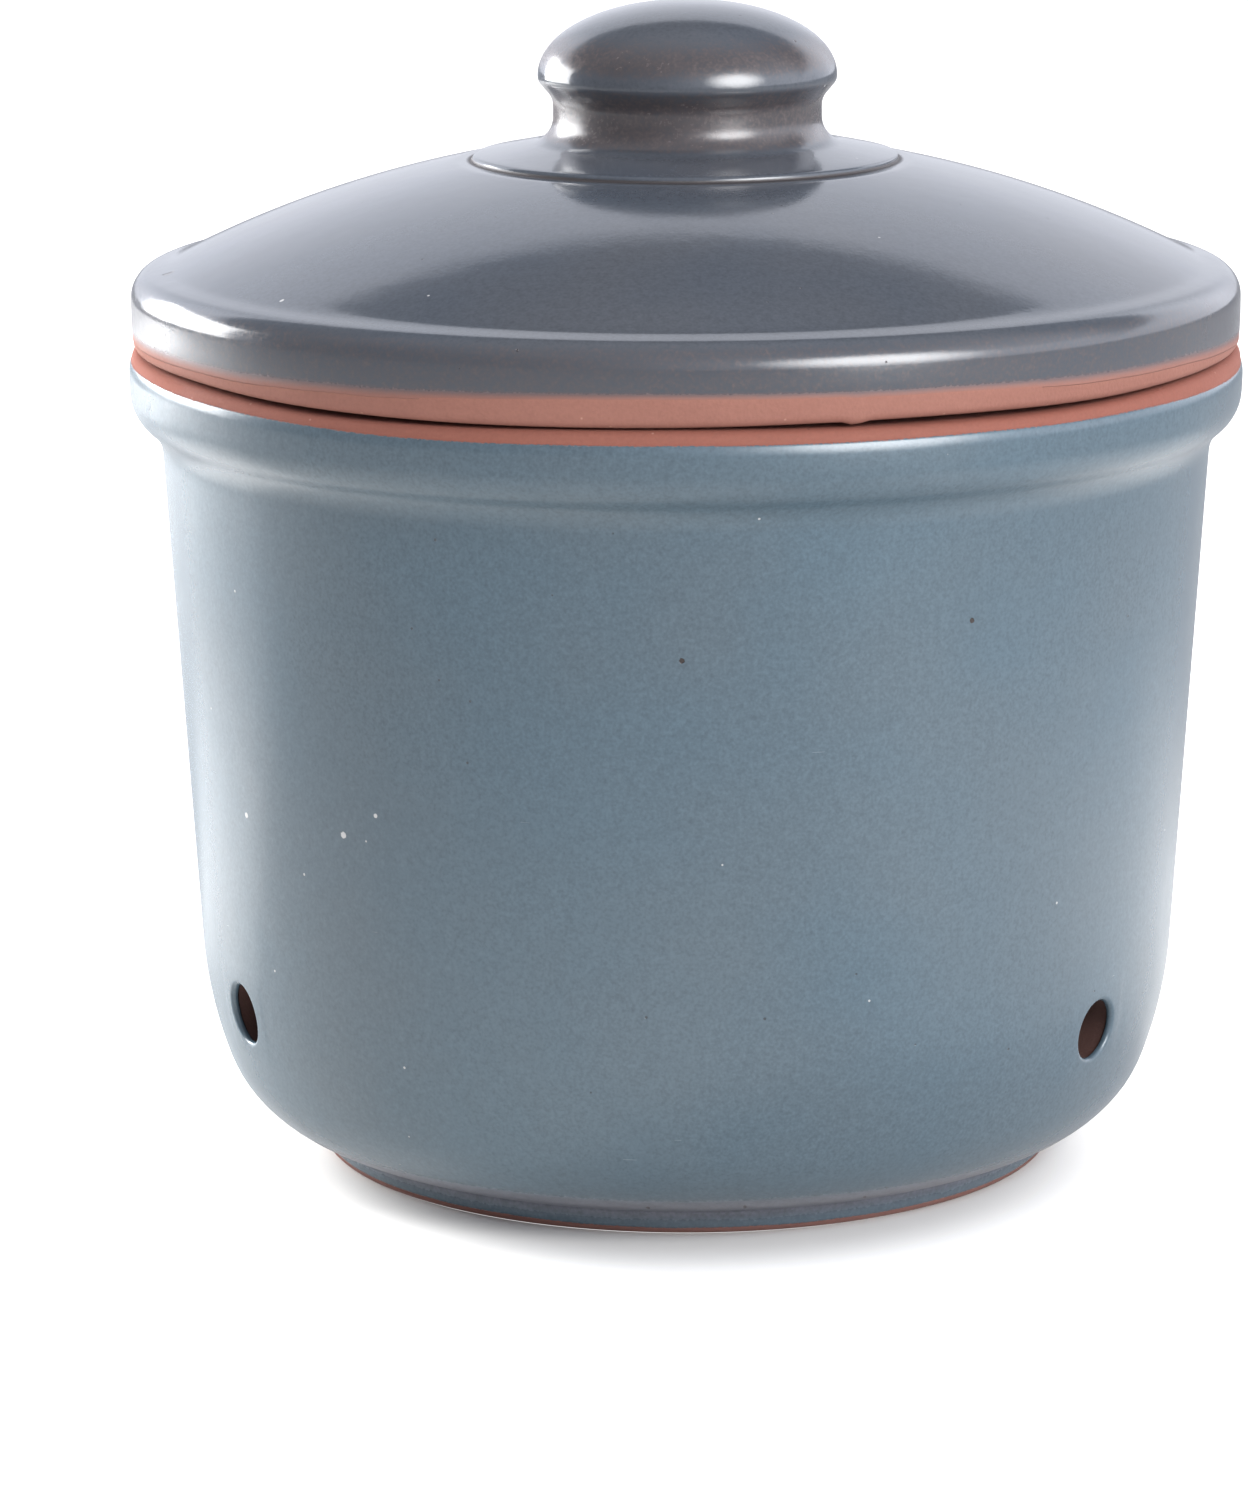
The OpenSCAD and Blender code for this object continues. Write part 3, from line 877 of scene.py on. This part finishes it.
# Painted contact shadow where the pot's foot meets the table.
CONTACT_SHADE = (0.090, 0.070, 0.065, 1)
# Dark chips and pits, also used as painted shade inside the vents and along the pad's foot.
CHIP_AND_SHADE_COLOUR = (0.030, 0.022, 0.020, 1)
# Painted glint: the pale colour of the glaze's raised flecks and specks.
FLECK_GLINT_COLOUR = (0.500, 0.500, 0.490, 1)
CHIP_DEPTH = 0.12
FLECK_R = 0.2
FLECK_RISE = 0.03
PIT_DEPTH = 0.05
# Flecks: spacing in mm, share of the cells, colour, how far it covers, and rise in mm.
CLAY_FLECKS = (1.6, 0.15, CLAY_DUST, 0.55, 0.0), (3.1, 0.1, CHIP_AND_SHADE_COLOUR, 0.6, -PIT_DEPTH)
# In the glaze, the pale flecks are raised bumps with a painted glint, and the dark ones are pits.
GLAZE_FLECKS = (4.2, 0.16, FLECK_GLINT_COLOUR, 0.8, FLECK_RISE), (3.4, 0.16, CHIP_AND_SHADE_COLOUR, 0.6, -PIT_DEPTH)


def start_material(name, **constants):
    """A material, its graph, and its Principled shader with constant inputs set."""
    material = bpy.data.materials.new(name)
    material.use_nodes = True
    g = Graph(material.node_tree)
    shader = g.tree.nodes["Principled BSDF"]
    for key, value in constants.items():
        shader.inputs[key].default_value = value
    g.place = g.shade(g.node("TexCoord").outputs["Object"], 1 / MM)
    return material, g, shader


def finish_material(g, shader, base, roughness, height):
    """Links the shader's base colour, roughness and a bump of a height in millimetres."""
    bump = g.node("Bump", {"Height": height, "Distance": MM, "Strength": 1.0}).outputs["Normal"]
    for value, socket in (base, "Base Color"), (roughness, "Roughness"), (bump, "Normal"):
        g.put(value, shader.inputs[socket])


def flecked(g, base, height, flecks):
    """A base colour and a height with flecks of each kind laid over them."""
    for spacing, share, paint, cover, rise in flecks:
        mask = g.use(FLECK, Spacing=spacing, Radius=FLECK_R, Share=share)["Mask"]
        base = g.mix(g.times(mask, cover), base, paint)
        height = g.add(mask, rise, height)
    return base, height


def earthenware(name, face, drift, painted_shade=False):
    """Bare fired clay: matt, with a sandy tooth, pale grog and a few dark iron spots. With painted
    shade, its lowest millimetre is painted grey as the table's contact shadow, and the insides of the
    vents are painted dark as shade."""
    material, g, shader = start_material(name, IOR=1.45)
    tone = g.use(TONE)
    base = g.mix(g.ramp(tone["Cloud"], -1.0, 1.0), face, drift)
    base = g.shade(base, g.add(tone["Grain"], 0.07, 1.0))
    height = g.use(SKIN, Peel=0.02, Grain=0.012, Rings=0.02)["Height"]
    base, height = flecked(g, base, height, CLAY_FLECKS)
    if painted_shade:
        # Painted shade inside the vents.
        base = g.mix(g.times(g.attribute("stain"), 0.8), base, CHIP_AND_SHADE_COLOUR)
        # Painted contact shadow: the lowest millimetres turn grey toward the table.
        base = g.mix(g.times(g.ramp(g.parts(g.place)["Z"], 1.8, 0.4), 0.5), base, CONTACT_SHADE)
    finish_material(g, shader, base, g.add(tone["Cloud"], 0.04, 0.82), height)
    return material


def glaze(name, clay, face, drift, thin, speckle, roughness, feather, skin, chips, specks, shaded_hollow=False):
    """A glass coat. Its colour drifts from face to drift in clouds, breaks to the colour of thinner
    glaze where the glaze is thinner and where a reflection is painted with it, speckled by its grain,
    and fades to clay at the coat's edge. Chips are dark and sunk, and specks are raised with a painted
    glint. With a shaded hollow, the glaze is painted dark as shade and dulled along that hollow."""
    material, g, shader = start_material(name, IOR=1.6)
    tone = g.use(TONE)
    handling = g.use(HANDLING)
    base = g.mix(g.ramp(tone["Cloud"], -1.0, 1.0), face, drift)
    breaking_and_sheen = g.add(tone["Grain"], speckle, g.attribute("thin"))
    base = g.mix(g.ramp(breaking_and_sheen, 0.15, 1.0), base, thin)
    salt = g.add(g.ramp(breaking_and_sheen, 0.2, 1.0), 0.28, 0.18)
    base = g.shade(base, g.add(tone["Grain"], salt, 1.0))
    height = g.use(SKIN, **skin)["Height"]
    base, height = flecked(g, base, height, GLAZE_FLECKS)
    cover = g.use(FEATHER, Edge=g.attribute("edge"), **feather)["Cover"]
    base = g.mix(cover, clay, base)
    gloss = g.add(handling["Dull"], 0.03, roughness)
    gloss = g.add(handling["Scuff"], 0.06, gloss)
    gloss = g.add(g.ramp(breaking_and_sheen, 0.2, 1.1), 0.15, gloss)
    # Painted shade: the hollow along the pad's foot is painted dark, and dulled.
    if shaded_hollow:
        hollow = g.attribute("hollow")
        base = g.mix(g.times(hollow, 0.9), base, CHIP_AND_SHADE_COLOUR)
        gloss = g.add(hollow, 0.4, gloss)
    gloss = g.add(g.maths("SUBTRACT", 1.0, cover), 0.6, gloss)
    marks = [(centre, size, CHIP_AND_SHADE_COLOUR, -CHIP_DEPTH) for centre, size in chips]
    marks += [(centre, (size, size, size), FLECK_GLINT_COLOUR, FLECK_RISE) for centre, size in specks]
    for centre, size, paint, rise in marks:
        mask = g.use(CHIP, Centre=centre, Size=size)["Mask"]
        base, height = g.mix(mask, base, paint), g.add(mask, rise, height)
    finish_material(g, shader, base, gloss, height)
    return material


# Chips, as (centre, size along each axis), and pale specks with a painted glint, as (centre, size), in
# mm.
LID_CHIPS = (
    ((-60.9, -16.8, 110.0), (1.0, 0.7, 0.3)),
    ((-20.0, -10.6, 124.0), (0.7, 0.5, 0.3)),
)
LID_SPECKS = (((-43.0, -44.0, 110.6), 0.3), ((30.5, -52.0, 112.4), 0.25))
POT_CHIPS = (
    ((-0.5, -51.2, 4.9), (0.25, 0.8, 0.7)),
    ((10.8, -50.1, 5.0), (0.22, 0.8, 0.8)),
    ((24.6, -44.9, 4.8), (0.22, 0.8, 0.7)),
    ((4.5, -63.0, 72.9), (0.3, 0.4, 0.35)),
    ((36.8, -51.6, 75.7), (0.3, 0.3, 0.3)),
    ((67.6, 2.0, 95.8), (0.5, 0.9, 0.7)),
)
POT_SPECKS = (((-49.5, -36.7, 48.0), 0.35), ((-36.0, -50.1, 49.0), 0.4), ((-31.8, -53.1, 52.1), 0.3))

# Slate blue, breaking to brown on the knob and on the lid's upright side.
LID_GLAZE = glaze(
    "lid_glaze",
    clay=LID_CLAY_TONE[0],
    face=(0.066, 0.079, 0.099, 1),
    drift=(0.074, 0.082, 0.096, 1),
    thin=(0.066, 0.054, 0.054, 1),
    speckle=0.35,
    roughness=0.12,
    feather={"Reach": 1.1, "Ragged": 0.07},
    skin={"Peel": 0.006, "Grain": 0.0015, "Rings": 0.004},
    chips=LID_CHIPS,
    specks=LID_SPECKS,
    shaded_hollow=True,
)
# Grey blue, satin rather than glassy, with a fine sparkle painted on its pale flecks, and a foot
# band of thinner glaze whose pale colour is also a painted reflection of the floor.
POT_GLAZE = glaze(
    "pot_glaze",
    clay=POT_CLAY_TONE_AND_SHADE[0],
    face=(0.073, 0.115, 0.146, 1),
    drift=(0.081, 0.115, 0.140, 1),
    thin=(0.150, 0.152, 0.180, 1),
    speckle=0.08,
    roughness=0.24,
    feather={"Reach": 0.12, "Ragged": 0.10},
    skin={"Peel": 0.010, "Grain": 0.0025, "Rings": 0.008},
    chips=POT_CHIPS,
    specks=POT_SPECKS,
)
POT_EARTHENWARE = earthenware("pot_earthenware", *POT_CLAY_TONE_AND_SHADE, painted_shade=True)
LID_EARTHENWARE = earthenware("lid_earthenware", *LID_CLAY_TONE)
for made, material in (
    (pot_clay(), POT_EARTHENWARE),
    (pot_coat(), POT_GLAZE),
    (lid_clay(), LID_EARTHENWARE),
    (knob_clay(), LID_EARTHENWARE),
    (lid_coat(), LID_GLAZE),
):
    made.data.materials.append(material)

# ---- studio
STUDIO_TURN = math.radians(4.5)
TARGET_H = 0.085
OVAL_SOFTNESS = 0.5
FLOOR_REACH = 4.0
FLOOR_GLOW = 0.55
FLOOR_WHITE = (0.815, 0.80, 0.77, 1)
FLOOR_GREY = (0.45, 0.45, 0.45, 1)
# Painted pools of light on the floor, seen only in the glaze: azimuth and width in degrees, and
# brightness.
PAINTED_FLOOR_POOLS = ((84, 64, 0.75), (-118, 24, 1.45))
GREY_AZIMUTH = -165
SHADOW_FRONT = 0.012
SHADOW_EDGE = (0.038, 0.057)
BACKDROP_RISE = 0.93
LEFT_ROOM, RIGHT_ROOM, RIGHT_WALL = 0.35, 1.70, 0.8
CEILING, ZENITH, OVERHEAD = 0.27, 0.67, 0.75
BACKDROP, BACKDROP_FLANK, BACKDROP_FOOT = 1.38, 2.48, 0.8


def studio_place(azimuth, distance, height):
    """A point of the studio. Azimuth, in degrees, is 0 toward the camera and 90 to its right."""
    a = math.radians(azimuth)
    turn = Matrix.Rotation(STUDIO_TURN, 4, "Z")
    return turn @ Vector((distance * math.sin(a), -distance * math.cos(a), height))


def facing(place, toward):
    """The matrix of an object at a place, with its -Z axis along toward."""
    return Matrix.Translation(place) @ toward.to_track_quat("-Z", "Y").to_matrix().to_4x4()


def lamp(name, azimuth, distance, height, size, power):
    """A soft round lamp that lights the surfaces. The cards below stand in for it in the gloss."""
    data = bpy.data.lights.new(name, "AREA")
    data.shape, data.size, data.energy = "DISK", size, power
    made = add_object(name, data)
    place = studio_place(azimuth, distance, height)
    made.matrix_world = facing(place, Vector((0, 0, TARGET_H)) - place)
    made.visible_glossy = made.visible_camera = False


def sheet(name, half_w, half_h):
    """A flat stage piece, 2 half_w by 2 half_h metres, with the empty graph of its material and its
    own coordinates there."""
    mesh = bpy.data.meshes.new(name)
    corners = [(-half_w, -half_h, 0), (half_w, -half_h, 0), (half_w, half_h, 0), (-half_w, half_h, 0)]
    mesh.from_pydata(corners, [], [(0, 1, 2, 3)])
    made = add_object(name, mesh)
    material = bpy.data.materials.new(name)
    material.use_nodes = True
    material.node_tree.nodes.clear()
    mesh.materials.append(material)
    g = Graph(material.node_tree)
    return made, g, g.node("TexCoord").outputs["Object"]


def card(name, azimuth, distance, low, high, width, strength, softness):
    """A bright card, width by high - low metres, that only the glaze's reflections see. It fades out
    over `softness`, as a share of its half width and height, toward its border: an oval if it is
    soft, and else a rectangle."""
    half_w, half_h = width / 2, (high - low) / 2
    made, g, here = sheet(name, half_w, half_h)
    place = studio_place(azimuth, distance, (low + high) / 2)
    made.matrix_world = facing(place, Vector((-place.x, -place.y, 0)))
    for ray in ("camera", "diffuse", "transmission", "shadow", "volume_scatter"):
        setattr(made, "visible_" + ray, False)
    share = g.vectors("MULTIPLY", here, (1 / half_w, 1 / half_h, 0))
    if softness > OVAL_SOFTNESS:
        reach = g.vectors("LENGTH", share)
    else:
        parts = g.parts(g.vectors("ABSOLUTE", share))
        reach = g.maths("MAXIMUM", parts["X"], parts["Y"])
    light = g.node("Emission", {"Strength": g.times(g.ramp(reach, 1.0, 1.0 - softness), strength)})
    clear = g.node("BsdfTransparent")
    g.finish(g.node("AddShader", {0: light.outputs[0], 1: clear.outputs[0]}))


def floor():
    """A white table top. What the camera sees of it is white, less a grey round the pot's foot: its real
    shadow, and a painted shadow where the white glow is left out in a disc round the foot, shifted
    toward the camera. In the glaze it shows painted pools of light where the two cards would throw
    their light on it, and painted shade, grey, far away and behind the pot. It is open to light from
    below inside the foot ring, so that the pot's underside can be seen."""
    g, here = sheet("floor", FLOOR_REACH, FLOOR_REACH)[1:]
    away = g.vectors("LENGTH", here)
    way = g.vectors("NORMALIZE", here)
    rays = g.node("LightPath").outputs

    # Painted pools of light on the floor, seen only in the glaze.
    pools = 0.0
    for azimuth, width, bright in PAINTED_FLOOR_POOLS:
        along = g.vectors("DOT_PRODUCT", way, studio_place(azimuth, 1.0, 0.0))
        pool = g.ramp(along, math.cos(math.radians(width)), math.cos(math.radians(width * 0.5)))
        pools = g.add(pool, bright, pools)
    pools = g.times(pools, g.ramp(away, 0.07, 0.17))
    pools = g.times(pools, g.between(g.ramp(away, 0.34, 0.23), 0.35, 1.0))
    # Painted shadow: the camera's white glow fades in only beyond a disc round the foot, shifted toward
    # the camera.
    from_shadow = g.vectors("DISTANCE", here, studio_place(0, SHADOW_FRONT, 0))
    white = g.times(rays["Is Camera Ray"], g.ramp(from_shadow, *SHADOW_EDGE))
    glow = g.add(white, FLOOR_GLOW, g.times(rays["Is Glossy Ray"], pools))

    # Painted shade, seen only in the glaze: the floor turns grey far away and behind the pot.
    behind = g.vectors("DOT_PRODUCT", way, studio_place(GREY_AZIMUTH, 1.0, 0.0))
    dim = g.maths("MAXIMUM", g.ramp(away, 0.10, 0.30), g.ramp(behind, 0.55, 0.90))
    paper = g.mix(g.times(rays["Is Glossy Ray"], dim), FLOOR_WHITE, FLOOR_GREY)
    paper = g.node("BsdfDiffuse", {"Color": paper})
    light = g.node("Emission", {"Strength": glow})
    both = g.node("AddShader", {0: paper.outputs[0], 1: light.outputs[0]})
    clear = g.node("BsdfTransparent")
    under_foot = g.maths("LESS_THAN", away, (FOOT_R - 1.0) * MM)
    hole = g.maths("MAXIMUM", g.node("NewGeometry").outputs["Backfacing"], under_foot)
    g.finish(g.node("MixShader", {0: hole, 1: both.outputs[0], 2: clear.outputs[0]}))


def studio_world():
    """The room, set out like the studio with X to the right of the camera and Y away from it: dim on
    the left and bright on the right. Behind the pot is a pale backdrop, brighter at its flanks, up to
    a straight edge BACKDROP_RISE times as high as it is far, and a dark ceiling above that. To the
    camera it is all white."""
    world = bpy.data.worlds.new("studio")
    bpy.context.scene.world = world
    world.use_nodes = True
    world.node_tree.nodes.clear()
    g = Graph(world.node_tree)
    way = {"Vector": g.node("TexCoord").outputs["Generated"], "Angle": -STUDIO_TURN}
    parts = g.parts(g.node("VectorRotate", way, rotation_type="Z_AXIS").outputs[0])
    side = g.between(g.ramp(parts["X"], -0.6, 0.8), LEFT_ROOM, RIGHT_ROOM)
    room = g.between(g.ramp(parts["Z"], 0.35, 1.0), side, OVERHEAD)
    wall = g.times(g.ramp(parts["X"], 0.6, 0.85), g.ramp(parts["Z"], 0.40, 0.30))
    room = g.add(wall, RIGHT_WALL, room)
    edge = g.add(parts["Y"], -BACKDROP_RISE, parts["Z"])
    ceiling = g.between(g.ramp(parts["Z"], 0.75, 1.0), CEILING, ZENITH)
    flank = g.ramp(g.maths("ABSOLUTE", parts["X"]), 0.28, 0.6)
    backdrop = g.between(flank, BACKDROP, BACKDROP_FLANK)
    backdrop = g.times(backdrop, g.between(g.ramp(parts["Z"], 0.0, 0.25), BACKDROP_FOOT, 1.0))
    behind = g.between(g.ramp(edge, 0.03, -0.03), ceiling, backdrop)
    seen = g.between(g.ramp(parts["Y"], -0.05, 0.45), room, behind)
    to_camera = g.node("LightPath").outputs["Is Camera Ray"]
    tint = g.mix(to_camera, (0.94, 0.965, 1.06, 1), (1, 1, 1, 1))
    sky = {"Color": tint, "Strength": g.between(to_camera, seen, 1.0)}
    g.finish(g.node("Background", sky), "OutputWorld")


studio_world()
floor()
lamp("key_lamp", azimuth=40, distance=0.95, height=0.62, size=0.45, power=7.0)
lamp("left_lamp", azimuth=-128, distance=0.8, height=0.25, size=0.40, power=17.0)
card("key_card", 38, 0.85, low=-0.04, high=0.80, width=0.90, strength=13.5, softness=0.8)
card("left_card", -121, 0.55, low=0.07, high=0.335, width=0.40, strength=11.0, softness=0.08)

# ---- camera
CAMERA_BACK = 680.0
CAMERA_H = 200.23
CAMERA_PITCH = 0.21941
CAMERA_YAW = 0.01130
CAMERA_ROLL = 0.00423
CAMERA_LENS = 134.39


def place_camera():
    """A camera CAMERA_BACK in front of the pot, CAMERA_H up, tilted down by CAMERA_PITCH."""
    data = bpy.data.cameras.new("camera")
    data.lens, data.sensor_width = CAMERA_LENS, 36
    camera = add_object("camera", data)
    look = Matrix.Rotation(STUDIO_TURN + CAMERA_YAW, 4, "Z")
    look = look @ Matrix.Rotation(math.pi / 2 - CAMERA_PITCH, 4, "X")
    stand = Matrix.Rotation(STUDIO_TURN, 4, "Z") @ Vector((0, -CAMERA_BACK * MM, CAMERA_H * MM))
    camera.matrix_world = Matrix.Translation(stand) @ look @ Matrix.Rotation(-CAMERA_ROLL, 4, "Z")
    bpy.context.scene.camera = camera


place_camera()
bpy.context.scene.view_settings.view_transform = "Standard"
